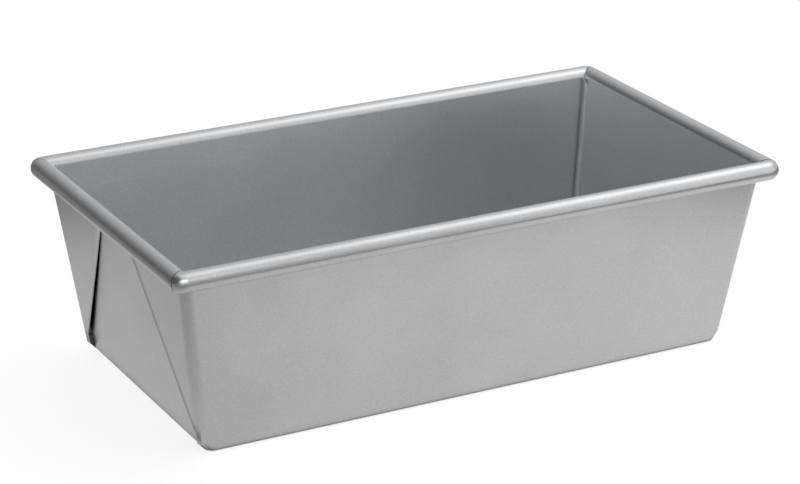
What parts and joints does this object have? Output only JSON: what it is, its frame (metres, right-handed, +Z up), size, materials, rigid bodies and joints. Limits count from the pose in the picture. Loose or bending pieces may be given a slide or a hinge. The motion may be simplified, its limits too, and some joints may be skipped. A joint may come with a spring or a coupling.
{
  "type": "loaf pan",
  "caption": "Long open-topped baking pan of folded sheet steel, with sloping walls, folded corner pleats and a rim curled over a wire.",
  "frame": {"origin": "centre of the underside, on the surface the pan stands on", "axes": "+X along the pan's length, +Y across its width, +Z up"},
  "size_m": [0.229, 0.1278, 0.0696],
  "materials": {
    "pan_steel": "satin",
    "wire_steel": "satin"
  },
  "bodies": {
    "root": {"pan_body": "pan_steel", "rim_wire": "wire_steel"}
  },
  "joints": []
}
